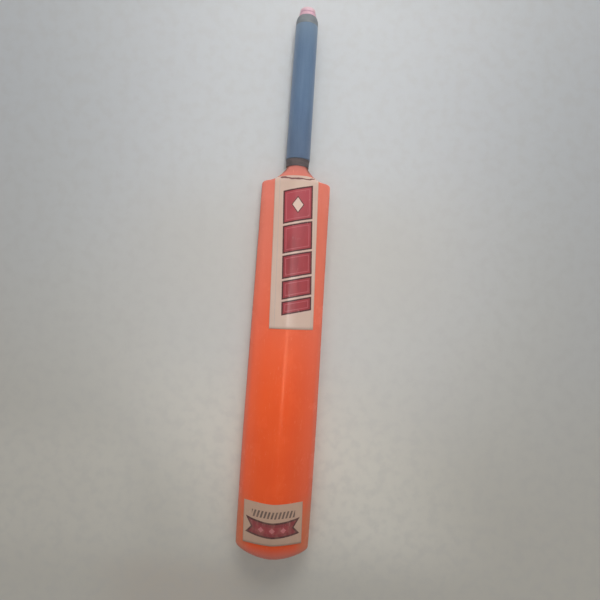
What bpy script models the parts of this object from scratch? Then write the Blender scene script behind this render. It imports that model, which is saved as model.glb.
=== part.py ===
"""Plastic cricket bat, lying on its striking face with its spine up.

X runs across the blade, Y along the bat from the toe to the handle's end, and Z up out of the back.
The origin is at the middle of the bat's length, on the plane of the striking face.
Every size is in metres. A distance is measured along the bat from the tip of the toe.
"""

import math

import bmesh
import bpy
from mathutils import Vector

# Lengths along the bat
BLADE_LENGTH = 0.5573
HANDLE_LENGTH = 0.2607
WIDEST_FROM_TOE = 0.140
THICKEST_FROM_TOE = 0.105

# Widths across the blade
BLADE_WIDTH = 0.108
SHOULDER_WIDTH = 0.1016
TOE_WIDTH = 0.1064
TOE_WIDTH_POWER = 2

# Heights from the plane where the mould parts, which halves the handle
FACE_DEPTH = 0.0195
SPINE_HEIGHT = 0.0310
SHOULDER_SPINE_HEIGHT = 0.0177
TOE_SPINE_HEIGHT = 0.0165
FLANK_EDGE_HEIGHT = 0.0055
TOE_SPINE_POWER = 3
SPINE_POWER = 1.5

# Rounding of the blade's long edges
FACE_EDGE_ROUND = 0.014
FACE_EDGE_POWER = 2.6
BACK_EDGE_ROUND = 0.010
BACK_EDGE_POWER = 2.0

# Toe
TOE_ARC_RADIUS = 0.0971
TOE_FILLET = 0.011
TOE_CORNER_RADIUS = 0.004
TOE_CORNER_POWER = 4
TOE_BOW_REACH = 0.110

# Shoulders and the flare up to the neck
SHOULDER_CORNER_RADIUS = 0.006
SHOULDER_SLOPE = math.radians(9.0)
FLARE_ACROSS = 0.0405
FLARE_ALONG = 0.0442
FLARE_START = math.radians(33.0)
NECK_FILLET = 0.003

# Hollow moulding
WALL = 0.003

# Handle's core, and the blow neck at its end
CORE_BOTTOM_RADIUS = 0.0158
CORE_TOP_RADIUS = 0.0143
CORE_END_ROUND = 0.0065
BLOW_NECK_RADIUS = 0.0125
BLOW_NECK_LENGTH = 0.0010

# Plug in the blow neck: a head over a wider flange, with a groove between them
PLUG_HEAD_RADIUS = 0.0113
PLUG_HEAD_HEIGHT = 0.0064
PLUG_HEAD_ROUND = 0.0022
PLUG_CROWN_WALL = 0.0030
PLUG_GROOVE_RADIUS = 0.0107
PLUG_GROOVE_LENGTH = 0.0008
PLUG_FLANGE_RADIUS = 0.0125
PLUG_FLANGE_HEIGHT = 0.0057
PLUG_FLANGE_ROUND = 0.0008
PLUG_STEM_LENGTH = 0.012
PLUG_STEM_WALL = 0.0018
PLUG_LEAD_IN_DEPTH = 0.0008
PLUG_LEAD_IN_LENGTH = 0.0016

# Rubber sleeve and the bands at its ends
GRIP_WALL = 0.0020
GRIP_EDGE_ROUND = 0.0006
BOTTOM_BAND_LENGTH = 0.0112
BOTTOM_BAND_THICKNESS = 0.0014
BOTTOM_BAND_LOWER_THICKNESS = 0.0007
BOTTOM_BAND_THIN_PART = 0.0062
TOP_BAND_SLEEVE_LENGTH = 0.0062
TOP_BAND_THICKNESS = 0.0018
TOP_BAND_RIM_SHARE = 0.35
BAND_EDGE_ROUND = 0.0005

# Labels on the back
LABEL_THICKNESS = 0.0004
BLADE_LABEL_WIDTH = 0.0640
BLADE_LABEL_LENGTH = 0.2252
BLADE_LABEL_OVER_SHOULDER = 0.0065
BLADE_LABEL_OFFSET = 0.0072
BLADE_LABEL_TURN = math.radians(1.65)
TOE_LABEL_WIDTH = 0.0850
TOE_LABEL_LENGTH = 0.0612
TOE_LABEL_FROM_TOE = 0.0276
TOE_LABEL_OFFSET = 0.0004
TOE_LABEL_TURN = math.radians(1.75)

# Gap between pieces that touch
CLEARANCE = 0.0003

# Fineness of the surfaces
QUARTER_POINTS = 11
BLADE_RINGS = 17
FILLET_RINGS = 4
FLARE_RINGS = 9
TURN_STEPS = 48
NECK_RINGS = 2
EDGE_STEPS = 3
LABEL_COLUMNS = 18
BLADE_LABEL_ROWS = 32
TOE_LABEL_ROWS = 7
ROW_CROWDING = 2.4
LABEL_STRIDE = 0.00025
SLOPE_PROBE = 0.0005
MERGE_DISTANCE = 0.00001
SHARP_ANGLE = math.radians(40.0)

# Finishes, each a linear colour, a roughness and how metallic it is
ORANGE_PLASTIC = ((0.80, 0.13, 0.03), 0.32, 0.0)
PLUG_PLASTIC = ((0.66, 0.40, 0.40), 0.40, 0.0)
BLUE_RUBBER = ((0.10, 0.20, 0.36), 0.75, 0.0)
DARK_BAND = ((0.055, 0.040, 0.042), 0.70, 0.0)
GREY_BAND = ((0.16, 0.18, 0.20), 0.72, 0.0)
BLADE_LABEL_FILM = ((0.80, 0.76, 0.72), 0.45, 0.0)
TOE_LABEL_FILM = ((0.72, 0.64, 0.58), 0.45, 0.0)

BAT_LENGTH = BLADE_LENGTH + HANDLE_LENGTH
PLUG_SEAT = BAT_LENGTH - PLUG_HEAD_HEIGHT - PLUG_FLANGE_HEIGHT
CORE_END = PLUG_SEAT - CLEARANCE
BLOW_NECK_START = CORE_END - BLOW_NECK_LENGTH
CORE_ROUND_START = BLOW_NECK_START - CORE_END_ROUND
BLADE_LABEL_FROM_TOE = BLADE_LENGTH + BLADE_LABEL_OVER_SHOULDER - BLADE_LABEL_LENGTH
COLLECTION_NAME = "plastic_cricket_bat"


def ease(share):
    """Smooth step from 0 to 1, level at both ends."""
    share = min(max(share, 0.0), 1.0)
    return share * share * (3.0 - 2.0 * share)


def mix(first, second, share):
    return first + (second - first) * share


def swelling(distance, toe_value, swell_value, shoulder_value, swell_distance, toe_power):
    """A size that grows from the toe to its swell and shrinks again to the shoulder."""
    if distance < swell_distance:
        return mix(swell_value, toe_value, ((swell_distance - distance) / swell_distance) ** toe_power)
    reach = BLADE_LENGTH - swell_distance
    return mix(swell_value, shoulder_value, ease((distance - swell_distance) / reach))


def blade_half_width(distance):
    return swelling(distance, TOE_WIDTH, BLADE_WIDTH, SHOULDER_WIDTH, WIDEST_FROM_TOE, TOE_WIDTH_POWER) / 2


def shoulder_outline():
    """Plan of the shoulder as (distance, half width), from the blade's side up to the neck.

    A convex corner, a straight slope, a concave flare and a small fillet into the neck follow each other.
    """
    flare_end = math.atan2(FLARE_ALONG, FLARE_ACROSS * math.tan(SHOULDER_SLOPE))
    flare_top = BLADE_LENGTH + FLARE_ALONG * (math.sin(flare_end) - math.sin(FLARE_START))
    flare_base = CORE_BOTTOM_RADIUS + NECK_FILLET * (1.0 - math.cos(FLARE_START))
    flare = []
    for step in range(FLARE_RINGS + 1):
        angle = mix(flare_end, FLARE_START, step / FLARE_RINGS)
        half_width = flare_base + FLARE_ACROSS * (math.cos(FLARE_START) - math.cos(angle))
        flare.append((flare_top - FLARE_ALONG * (math.sin(angle) - math.sin(FLARE_START)), half_width))

    neck_top = flare_top + NECK_FILLET * math.sin(FLARE_START)
    neck = []
    for step in range(1, NECK_RINGS + 1):
        angle = mix(FLARE_START, 0.0, step / NECK_RINGS)
        half_width = CORE_BOTTOM_RADIUS + NECK_FILLET * (1.0 - math.cos(angle))
        neck.append((neck_top - NECK_FILLET * math.sin(angle), half_width))

    centre_x = SHOULDER_WIDTH / 2 - SHOULDER_CORNER_RADIUS
    slope_end_x = centre_x + SHOULDER_CORNER_RADIUS * math.sin(SHOULDER_SLOPE)
    slope_drop = (slope_end_x - flare[0][1]) * math.tan(SHOULDER_SLOPE)
    centre_distance = flare[0][0] - slope_drop - SHOULDER_CORNER_RADIUS * math.cos(SHOULDER_SLOPE)
    corner = []
    for step in range(FILLET_RINGS + 1):
        angle = mix(math.pi / 2, SHOULDER_SLOPE, step / FILLET_RINGS)
        corner.append((centre_distance + SHOULDER_CORNER_RADIUS * math.cos(angle),
                       centre_x + SHOULDER_CORNER_RADIUS * math.sin(angle)))
    return corner + flare + neck


def core_end_outline():
    """Plan of the handle's end as (distance, radius): the core rounds over into the blow neck."""
    outline = []
    for step in range(FILLET_RINGS + 1):
        angle = math.pi / 2 * step / FILLET_RINGS
        radius = mix(BLOW_NECK_RADIUS, CORE_TOP_RADIUS, math.cos(angle))
        outline.append((CORE_ROUND_START + CORE_END_ROUND * math.sin(angle), radius))
    return outline + [(CORE_END, BLOW_NECK_RADIUS)]


SHOULDER = shoulder_outline()
NECK_TOP = SHOULDER[-1][0]


def between(outline, distance):
    """Half width at a distance, read along an outline of (distance, half width)."""
    for (low, first), (high, second) in zip(outline, outline[1:]):
        if distance <= high:
            return mix(first, second, (distance - low) / (high - low))
    return outline[-1][1]


def core_radius(distance):
    """Radius of the handle's core, which tapers slightly to its end."""
    if distance > CORE_ROUND_START:
        return between(core_end_outline(), distance)
    return mix(CORE_BOTTOM_RADIUS, CORE_TOP_RADIUS, (distance - NECK_TOP) / (CORE_ROUND_START - NECK_TOP))


class Section:
    """Cross-section of the moulding at one distance from the toe.

    Its insets pull it in where the toe's end face rounds over.
    """

    def __init__(self, distance, inset=0.0, side_inset=0.0):
        self.distance = distance
        if distance >= NECK_TOP:
            self.half_width = self.spine = self.depth = core_radius(distance)
            self.roundness = 1.0
        else:
            neck = CORE_BOTTOM_RADIUS
            widest = SHOULDER_WIDTH / 2
            if distance > SHOULDER[0][0]:
                self.half_width = between(SHOULDER, distance)
                widening = (self.half_width - neck) / (widest - neck)
            else:
                self.half_width = blade_half_width(distance)
                widening = 1.0
            to_neck = ease((distance - BLADE_LENGTH) / (NECK_TOP - BLADE_LENGTH))
            spine = swelling(distance, TOE_SPINE_HEIGHT, SPINE_HEIGHT, SHOULDER_SPINE_HEIGHT,
                             THICKEST_FROM_TOE, TOE_SPINE_POWER)
            self.spine = mix(spine, neck, to_neck)
            self.depth = mix(FACE_DEPTH, neck, to_neck)
            self.roundness = 1.0 - ease(widening)
        self.half_width -= side_inset
        self.edge = FLANK_EDGE_HEIGHT * (self.spine - inset) / self.spine
        self.spine -= inset
        self.depth -= inset

    def back(self, x):
        """Height of the back over the parting plane: convex flanks that fall from a soft spine."""
        across = min(x / self.half_width, 1.0)
        flank = mix(self.spine, self.edge, across ** SPINE_POWER)
        flank *= rounded_edge(x, self.half_width, BACK_EDGE_ROUND, BACK_EDGE_POWER)
        return mix(flank, self.spine * math.sqrt(1.0 - across * across), self.roundness)

    def face(self, x):
        """Depth of the striking face under the parting plane: flat, with rounded edges."""
        across = min(x / self.half_width, 1.0)
        flat = self.depth * rounded_edge(x, self.half_width, FACE_EDGE_ROUND, FACE_EDGE_POWER)
        return mix(flat, self.depth * math.sqrt(1.0 - across * across), self.roundness)


def rounded_edge(x, half_width, reach, power):
    """Share of the full height that is left at x, where the side rounds off over the given reach."""
    reach = min(reach, half_width)
    share = min(max((x - half_width + reach) / reach, 0.0), 1.0)
    return (1.0 - share ** power) ** (1.0 / power)


def toe_bowed(distance, x, half_width):
    """Distance of a point on a ring: rings near the toe bend round the toe's arc."""
    share = 1.0 - ease(distance / TOE_BOW_REACH)
    bow = TOE_ARC_RADIUS - math.sqrt(TOE_ARC_RADIUS ** 2 - x * x)
    tighter_corner = (1.0 - TOE_CORNER_RADIUS / TOE_FILLET) * (x / half_width) ** TOE_CORNER_POWER
    return distance * (1.0 - share * tighter_corner) + share * bow


def placed(x, distance, height):
    """World position of a point given by its distance from the toe and its height over the parting plane."""
    return Vector((x, distance - BAT_LENGTH / 2, FACE_DEPTH + height))


def half_ring(section):
    """Right half of one ring, from the spine's crest round the side to the middle of the face."""
    ring = []
    for index in range(2 * QUARTER_POINTS + 1):
        angle = math.pi / 2 * index / QUARTER_POINTS
        on_axis = index in (0, 2 * QUARTER_POINTS)
        x = 0.0 if on_axis else section.half_width * math.sin(angle)
        distance = toe_bowed(section.distance, x, section.half_width)
        if index == QUARTER_POINTS:
            height = 0.0
        elif index < QUARTER_POINTS:
            height = section.back(x)
        else:
            height = -section.face(x)
        ring.append(placed(x, distance, height))
    return ring


def moulding_sections():
    """Sections of the moulding from the toe's end face to the mouth of the blow neck."""
    sections = []
    for step in range(FILLET_RINGS):
        angle = math.pi / 2 * (1.0 - step / FILLET_RINGS)
        turned_in = 1.0 - math.cos(angle)
        sections.append(Section(TOE_FILLET * (1.0 - math.sin(angle)),
                                TOE_FILLET * turned_in, TOE_CORNER_RADIUS * turned_in))
    for step in range(BLADE_RINGS):
        sections.append(Section(mix(TOE_FILLET, SHOULDER[0][0], step / BLADE_RINGS)))
    for distance, _ in SHOULDER:
        sections.append(Section(distance))
    for distance, _ in core_end_outline():
        sections.append(Section(distance))
    return sections


def new_material(name, finish):
    colour, roughness, metallic = finish
    material = bpy.data.materials.new(name)
    material.use_nodes = True
    shader = material.node_tree.nodes["Principled BSDF"]
    shader.inputs["Base Color"].default_value = (*colour, 1.0)
    shader.inputs["Roughness"].default_value = roughness
    shader.inputs["Metallic"].default_value = metallic
    return material


def new_object(name, mesh, material, collection):
    mesh.materials.append(material)
    mesh.shade_smooth()
    mesh.set_sharp_from_angle(angle=SHARP_ANGLE)
    piece = bpy.data.objects.new(name, mesh)
    collection.objects.link(piece)
    return piece


def make_bat_shell(collection):
    """Loft half of the moulding's skin, close the toe, mirror it and give it its wall inwards."""
    work = bmesh.new()
    rings = [[work.verts.new(point) for point in half_ring(section)] for section in moulding_sections()]
    for lower, upper in zip(rings, rings[1:]):
        for index in range(2 * QUARTER_POINTS):
            work.faces.new((lower[index], lower[index + 1], upper[index + 1], upper[index]))
    toe = rings[0]
    for index in range(QUARTER_POINTS - 1):
        work.faces.new((toe[index], toe[-1 - index], toe[-2 - index], toe[index + 1]))
    work.faces.new((toe[QUARTER_POINTS - 1], toe[QUARTER_POINTS + 1], toe[QUARTER_POINTS]))

    mesh = bpy.data.meshes.new("bat_shell")
    work.to_mesh(mesh)
    work.free()
    orange = new_material("orange_plastic", ORANGE_PLASTIC)
    shell = new_object("bat_shell", mesh, orange, collection)
    mirror = shell.modifiers.new("both_sides", "MIRROR")
    mirror.merge_threshold = MERGE_DISTANCE
    solidify = shell.modifiers.new("wall", "SOLIDIFY")
    solidify.thickness = WALL
    solidify.offset = -1.0
    solidify.use_even_offset = True
    return shell


def make_turned(name, profile, material, collection, closed=True):
    """Turn a profile of (radius, distance) about the handle's axis.

    The profile runs down its outer side first. An open profile starts and ends on the axis.
    """
    mesh = bpy.data.meshes.new(name)
    edges = [(index, index + 1) for index in range(len(profile) - 1)]
    if closed:
        edges.append((len(profile) - 1, 0))
    mesh.from_pydata([(radius, 0.0, distance) for radius, distance in profile], edges, [])
    piece = new_object(name, mesh, material, collection)
    screw = piece.modifiers.new("turned", "SCREW")
    screw.steps = TURN_STEPS
    screw.render_steps = TURN_STEPS
    screw.use_merge_vertices = True
    screw.merge_threshold = MERGE_DISTANCE
    piece.location = placed(0.0, 0.0, 0.0)
    piece.rotation_euler = (-math.pi / 2, 0.0, 0.0)
    return piece


def quarter_arc(centre, radius, start):
    """Points of a quarter turn clockwise from a start angle, as (radius, distance) on a profile."""
    points = []
    for step in range(EDGE_STEPS + 1):
        angle = start - math.pi / 2 * step / EDGE_STEPS
        points.append((centre[0] + radius * math.cos(angle), centre[1] + radius * math.sin(angle)))
    return points


def make_end_plug(collection):
    """Cap with a rounded head, a wider flange, and a hollow stem that presses into the blow neck."""
    head_base = BAT_LENGTH - PLUG_HEAD_HEIGHT
    flange_top = head_base - PLUG_GROOVE_LENGTH
    hollow_top = BAT_LENGTH - PLUG_CROWN_WALL
    stem_radius = BLOW_NECK_RADIUS - WALL - CLEARANCE
    stem_inside = stem_radius - PLUG_STEM_WALL
    stem_end = PLUG_SEAT - PLUG_STEM_LENGTH
    head_edge = quarter_arc((PLUG_HEAD_RADIUS - PLUG_HEAD_ROUND, BAT_LENGTH - PLUG_HEAD_ROUND),
                            PLUG_HEAD_ROUND, math.pi / 2)
    flange_edge = quarter_arc((PLUG_FLANGE_RADIUS - PLUG_FLANGE_ROUND, flange_top - PLUG_FLANGE_ROUND),
                              PLUG_FLANGE_ROUND, math.pi / 2)
    groove = [
        (PLUG_HEAD_RADIUS, head_base),
        (PLUG_GROOVE_RADIUS, head_base),
        (PLUG_GROOVE_RADIUS, flange_top),
    ]
    stem = [
        (PLUG_FLANGE_RADIUS, PLUG_SEAT),
        (stem_radius, PLUG_SEAT),
        (stem_radius, stem_end + PLUG_LEAD_IN_LENGTH),
        (stem_radius - PLUG_LEAD_IN_DEPTH, stem_end),
        (stem_inside, stem_end),
        (stem_inside, hollow_top),
    ]
    profile = [(0.0, BAT_LENGTH)] + head_edge + groove + flange_edge + stem + [(0.0, hollow_top)]
    material = new_material("plug_plastic", PLUG_PLASTIC)
    return make_turned("end_plug", profile, material, collection, closed=False)


def make_grip_sleeve(collection):
    """Rubber tube that follows the core's taper between the two bands."""
    bottom = NECK_TOP + BOTTOM_BAND_LENGTH + CLEARANCE
    top = CORE_ROUND_START - TOP_BAND_SLEEVE_LENGTH - CLEARANCE
    inside_bottom = core_radius(bottom) + CLEARANCE
    inside_top = core_radius(top) + CLEARANCE
    upper_edge = quarter_arc((inside_top + GRIP_WALL - GRIP_EDGE_ROUND, top - GRIP_EDGE_ROUND),
                             GRIP_EDGE_ROUND, math.pi / 2)
    lower_edge = quarter_arc((inside_bottom + GRIP_WALL - GRIP_EDGE_ROUND, bottom + GRIP_EDGE_ROUND),
                             GRIP_EDGE_ROUND, 0.0)
    profile = upper_edge + lower_edge + [(inside_bottom, bottom), (inside_top, top)]
    material = new_material("blue_rubber", BLUE_RUBBER)
    return make_turned("grip_sleeve", profile, material, collection)


def make_grip_bottom_band(collection):
    """Dark band on the neck under the sleeve, thinning towards the flare."""
    bottom = NECK_TOP
    top = NECK_TOP + BOTTOM_BAND_LENGTH
    inside_top = core_radius(top) + CLEARANCE
    inside_bottom = core_radius(bottom) + CLEARANCE
    outside_top = inside_top + BOTTOM_BAND_THICKNESS
    outside_bottom = inside_bottom + BOTTOM_BAND_LOWER_THICKNESS
    upper_edge = quarter_arc((outside_top - BAND_EDGE_ROUND, top - BAND_EDGE_ROUND),
                             BAND_EDGE_ROUND, math.pi / 2)
    lower_edge = quarter_arc((outside_bottom - BAND_EDGE_ROUND, bottom + BAND_EDGE_ROUND),
                             BAND_EDGE_ROUND, 0.0)
    shoulder = [(outside_top, bottom + BOTTOM_BAND_THIN_PART)]
    profile = upper_edge + shoulder + lower_edge + [(inside_bottom, bottom), (inside_top, top)]
    material = new_material("dark_band", DARK_BAND)
    return make_turned("grip_bottom_band", profile, material, collection)


def make_grip_top_band(collection):
    """Grey band that follows the core as it rounds over into the blow neck."""
    bottom = CORE_ROUND_START - TOP_BAND_SLEEVE_LENGTH
    outline = [(bottom, core_radius(bottom))] + core_end_outline()[:-1]
    inner = []
    outer = []
    lift = CLEARANCE + TOP_BAND_THICKNESS
    for index, (distance, radius) in enumerate(outline):
        rounded = math.sin(max(index - 1, 0) / FILLET_RINGS * math.pi / 2)
        inner.append((radius + CLEARANCE, distance + CLEARANCE * rounded))
        outer.append((radius + lift * mix(1.0, TOP_BAND_RIM_SHARE, rounded),
                      distance + lift * TOP_BAND_RIM_SHARE * rounded))
    profile = outer[::-1] + inner
    material = new_material("grey_band", GREY_BAND)
    return make_turned("grip_top_band", profile, material, collection)


def back_height(x, distance):
    return Section(distance).back(abs(x))


def on_back(x, distance, lift):
    """Point over the back, lifted square to its surface."""
    slope_x = (back_height(x + SLOPE_PROBE, distance) - back_height(x - SLOPE_PROBE, distance)) / 2.0
    slope_y = (back_height(x, distance + SLOPE_PROBE) - back_height(x, distance - SLOPE_PROBE)) / 2.0
    normal = Vector((-slope_x, -slope_y, SLOPE_PROBE)).normalized()
    return placed(x, distance, back_height(x, distance)) + normal * lift


def draped_column(x, distance, turn, lengths):
    """Points along one column of a sheet, at given lengths from its lower end.

    The column keeps its length as it bends over the back, so a steep part shortens it in plan.
    """
    points = []
    height = back_height(x, distance)
    travelled = 0.0
    for length in lengths:
        while travelled < length:
            x -= LABEL_STRIDE * math.sin(turn)
            distance += LABEL_STRIDE * math.cos(turn)
            next_height = back_height(x, distance)
            travelled += math.hypot(LABEL_STRIDE, next_height - height)
            height = next_height
        points.append(on_back(x, distance, CLEARANCE))
    return points


def make_label(name, width, length, from_toe, offset, turn, rows, finish, collection):
    """Thin sheet that lies on the back, turned by a small angle in plan.

    Its offset is where the middle of its lower edge lies across the blade.
    Its rows crowd together towards the shoulders, where the back curves most.
    """
    lengths = [length * (1.0 - (1.0 - row / rows) ** ROW_CROWDING) for row in range(rows + 1)]
    work = bmesh.new()
    grid = []
    for column in range(LABEL_COLUMNS + 1):
        across = mix(-width / 2, width / 2, column / LABEL_COLUMNS)
        x = offset + across * math.cos(turn)
        distance = from_toe + across * math.sin(turn)
        grid.append([work.verts.new(point) for point in draped_column(x, distance, turn, lengths)])
    for left, right in zip(grid, grid[1:]):
        for row in range(rows):
            work.faces.new((left[row], right[row], right[row + 1], left[row + 1]))
    mesh = bpy.data.meshes.new(name)
    work.to_mesh(mesh)
    work.free()
    label = new_object(name, mesh, new_material(name + "_film", finish), collection)
    solidify = label.modifiers.new("sheet", "SOLIDIFY")
    solidify.thickness = LABEL_THICKNESS
    solidify.offset = 1.0
    return label


def make_labels(collection):
    make_label("blade_label", BLADE_LABEL_WIDTH, BLADE_LABEL_LENGTH, BLADE_LABEL_FROM_TOE,
               BLADE_LABEL_OFFSET, BLADE_LABEL_TURN, BLADE_LABEL_ROWS, BLADE_LABEL_FILM, collection)
    make_label("toe_label", TOE_LABEL_WIDTH, TOE_LABEL_LENGTH, TOE_LABEL_FROM_TOE,
               TOE_LABEL_OFFSET, TOE_LABEL_TURN, TOE_LABEL_ROWS, TOE_LABEL_FILM, collection)


def main():
    for old in list(bpy.data.objects):
        bpy.data.objects.remove(old, do_unlink=True)
    collection = bpy.data.collections.new(COLLECTION_NAME)
    bpy.context.scene.collection.children.link(collection)
    make_bat_shell(collection)
    make_end_plug(collection)
    make_grip_sleeve(collection)
    make_grip_bottom_band(collection)
    make_grip_top_band(collection)
    make_labels(collection)


main()
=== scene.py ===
import math

import bmesh
import bpy
from mathutils import Matrix, Vector


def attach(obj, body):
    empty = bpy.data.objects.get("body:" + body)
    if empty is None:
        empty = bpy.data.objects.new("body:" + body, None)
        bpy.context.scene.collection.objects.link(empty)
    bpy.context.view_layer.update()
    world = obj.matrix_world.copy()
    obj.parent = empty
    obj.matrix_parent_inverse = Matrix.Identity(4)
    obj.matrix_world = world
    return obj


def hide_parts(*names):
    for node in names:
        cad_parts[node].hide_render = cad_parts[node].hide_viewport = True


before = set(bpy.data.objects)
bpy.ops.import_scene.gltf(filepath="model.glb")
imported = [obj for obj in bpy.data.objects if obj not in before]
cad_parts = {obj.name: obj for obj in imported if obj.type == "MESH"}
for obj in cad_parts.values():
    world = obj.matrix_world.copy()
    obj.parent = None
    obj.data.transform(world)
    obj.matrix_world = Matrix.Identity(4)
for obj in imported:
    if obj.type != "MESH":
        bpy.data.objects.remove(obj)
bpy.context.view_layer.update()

# The moulding: blade, shoulders, neck and handle core in one hollow piece of orange polyethylene, blown
# in a mould of two halves. They part level with the handle's middle and leave a fine raised line round
# the sides. The tube is pinched shut at the toe and open at the handle's end, where the air went in.
BLADE_LENGTH = 0.5573
HANDLE_LENGTH = 0.2607
BAT_LENGTH = BLADE_LENGTH + HANDLE_LENGTH
WIDEST_FROM_TOE = 0.140
THICKEST_FROM_TOE = 0.105
BLADE_WIDTH = 0.108
SHOULDER_WIDTH = 0.1016
TOE_WIDTH = 0.1064
TOE_WIDTH_POWER = 2
FACE_DEPTH = 0.0195
SPINE_HEIGHT = 0.0310
SHOULDER_SPINE_HEIGHT = 0.0177
TOE_SPINE_HEIGHT = 0.0165
FLANK_EDGE_HEIGHT = 0.0055
TOE_SPINE_POWER = 3
SPINE_POWER = 1.5
FACE_EDGE_ROUND = 0.014
FACE_EDGE_POWER = 2.6
BACK_EDGE_ROUND = 0.010
BACK_EDGE_POWER = 2.0
TOE_ARC_RADIUS = 0.0971
TOE_FILLET = 0.011
TOE_CORNER_RADIUS = 0.004
TOE_CORNER_POWER = 4
TOE_BOW_REACH = 0.110
SHOULDER_CORNER_RADIUS = 0.006
SHOULDER_SLOPE = math.radians(9.0)
FLARE_ACROSS = 0.0405
FLARE_ALONG = 0.0442
FLARE_START = math.radians(33.0)
NECK_FILLET = 0.003
WALL = 0.003
CORE_BOTTOM_RADIUS = 0.0158
CORE_TOP_RADIUS = 0.0143
CORE_END_ROUND = 0.0065
BLOW_NECK_RADIUS = 0.0125
BLOW_NECK_LENGTH = 0.0010
PLUG_HEAD_HEIGHT = 0.0064
PLUG_FLANGE_HEIGHT = 0.0057
CLEARANCE = 0.0003
PLUG_SEAT = BAT_LENGTH - PLUG_HEAD_HEIGHT - PLUG_FLANGE_HEIGHT
CORE_END = PLUG_SEAT - CLEARANCE
CORE_ROUND_START = CORE_END - BLOW_NECK_LENGTH - CORE_END_ROUND

SKIN_COLUMNS = 192
END_FACE_SHARES = (0.0, 0.08, 0.2, 0.35, 0.52, 0.7, 0.86, 1.0)
TOE_FILLET_RINGS = 9
BLADE_RINGS = 56
CORNER_RINGS = 8
FLARE_RINGS = 22
NECK_RINGS = 5
CORE_RINGS = 8
CORE_END_RINGS = 8

PARTING_LINE_HALF_WIDTH = 0.00035
PARTING_LINE_FOOT = 0.0009
PARTING_LINE_HEIGHT = 0.0002
SKIN_MERGE_DISTANCE = 0.00001

ORANGE = (0.850, 0.112, 0.030, 1.0)
DEEP_ORANGE = (0.790, 0.094, 0.026, 1.0)
FLOW_LINE_ORANGE = (0.810, 0.142, 0.042, 1.0)
GLARE_AND_SHEEN_ORANGE = (0.680, 0.176, 0.116, 1.0)
FLANK_SHADE_ORANGE = (0.500, 0.130, 0.075, 1.0)
SIDE_SHEEN_ORANGE = (0.660, 0.195, 0.150, 1.0)
TOE_SIDE_SHADE_ORANGE = (0.420, 0.190, 0.100, 1.0)
TOE_END_SHADE_ORANGE = (0.540, 0.210, 0.170, 1.0)
SHOULDER_GLARE_ORANGE = (0.830, 0.265, 0.220, 1.0)
NECK_GLARE_ORANGE = (0.535, 0.170, 0.137, 1.0)
NECK_SHADE = (0.170, 0.072, 0.044, 1.0)
PALE_SCRATCH = (0.900, 0.330, 0.190, 1.0)
DARK_SPECK = (0.420, 0.060, 0.022, 1.0)
ORANGE_SHINE = (1.0, 0.62, 0.38, 1.0)


def ease(share):
    """Smooth step from 0 to 1, level at both ends."""
    share = min(max(share, 0.0), 1.0)
    return share * share * (3.0 - 2.0 * share)


def mix(first, second, share):
    return first + (second - first) * share


def steps(first, last, count):
    return [mix(first, last, step / count) for step in range(count + 1)]


def swelling(distance, toe_value, swell_value, shoulder_value, swell_distance, toe_power):
    """A size that grows from the toe to its swell and shrinks again to the shoulder."""
    if distance < swell_distance:
        return mix(swell_value, toe_value, ((swell_distance - distance) / swell_distance) ** toe_power)
    return mix(swell_value, shoulder_value,
               ease((distance - swell_distance) / (BLADE_LENGTH - swell_distance)))


def shoulder_outline():
    """Plan of the shoulder as (distance, half width), from the blade's side up to the neck."""
    flare_end = math.atan2(FLARE_ALONG, FLARE_ACROSS * math.tan(SHOULDER_SLOPE))
    flare_top = BLADE_LENGTH + FLARE_ALONG * (math.sin(flare_end) - math.sin(FLARE_START))
    flare_base = CORE_BOTTOM_RADIUS + NECK_FILLET * (1.0 - math.cos(FLARE_START))
    flare = [(flare_top - FLARE_ALONG * (math.sin(angle) - math.sin(FLARE_START)),
              flare_base + FLARE_ACROSS * (math.cos(FLARE_START) - math.cos(angle)))
             for angle in steps(flare_end, FLARE_START, FLARE_RINGS)]
    neck_top = flare_top + NECK_FILLET * math.sin(FLARE_START)
    neck = [(neck_top - NECK_FILLET * math.sin(angle),
             CORE_BOTTOM_RADIUS + NECK_FILLET * (1.0 - math.cos(angle)))
            for angle in steps(FLARE_START, 0.0, NECK_RINGS)[1:]]
    centre_x = SHOULDER_WIDTH / 2 - SHOULDER_CORNER_RADIUS
    slope_end_x = centre_x + SHOULDER_CORNER_RADIUS * math.sin(SHOULDER_SLOPE)
    slope_drop = (slope_end_x - flare[0][1]) * math.tan(SHOULDER_SLOPE)
    centre_distance = flare[0][0] - slope_drop - SHOULDER_CORNER_RADIUS * math.cos(SHOULDER_SLOPE)
    corner = [(centre_distance + SHOULDER_CORNER_RADIUS * math.cos(angle),
               centre_x + SHOULDER_CORNER_RADIUS * math.sin(angle))
              for angle in steps(math.pi / 2, SHOULDER_SLOPE, CORNER_RINGS)]
    return corner + flare + neck


SHOULDER = shoulder_outline()
NECK_TOP = SHOULDER[-1][0]
CORE_END_OUTLINE = [(CORE_ROUND_START + CORE_END_ROUND * math.sin(angle),
                     mix(BLOW_NECK_RADIUS, CORE_TOP_RADIUS, math.cos(angle)))
                    for angle in steps(0.0, math.pi / 2, CORE_END_RINGS)] + [(CORE_END, BLOW_NECK_RADIUS)]


def between(outline, distance):
    """Half width at a distance, read along an outline of (distance, half width)."""
    for (low, first), (high, second) in zip(outline, outline[1:]):
        if distance <= high:
            return mix(first, second, (distance - low) / (high - low))
    return outline[-1][1]


def core_radius(distance):
    """Radius of the handle's core, which tapers slightly to its end."""
    if distance > CORE_ROUND_START:
        return between(CORE_END_OUTLINE, distance)
    return mix(CORE_BOTTOM_RADIUS, CORE_TOP_RADIUS, (distance - NECK_TOP) / (CORE_ROUND_START - NECK_TOP))


def rounded_edge(x, half_width, reach, power):
    """Share of the full height that is left at x, where the side rounds off over the given reach."""
    reach = min(reach, half_width)
    share = min(max((x - half_width + reach) / reach, 0.0), 1.0)
    return (1.0 - share ** power) ** (1.0 / power)


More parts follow.
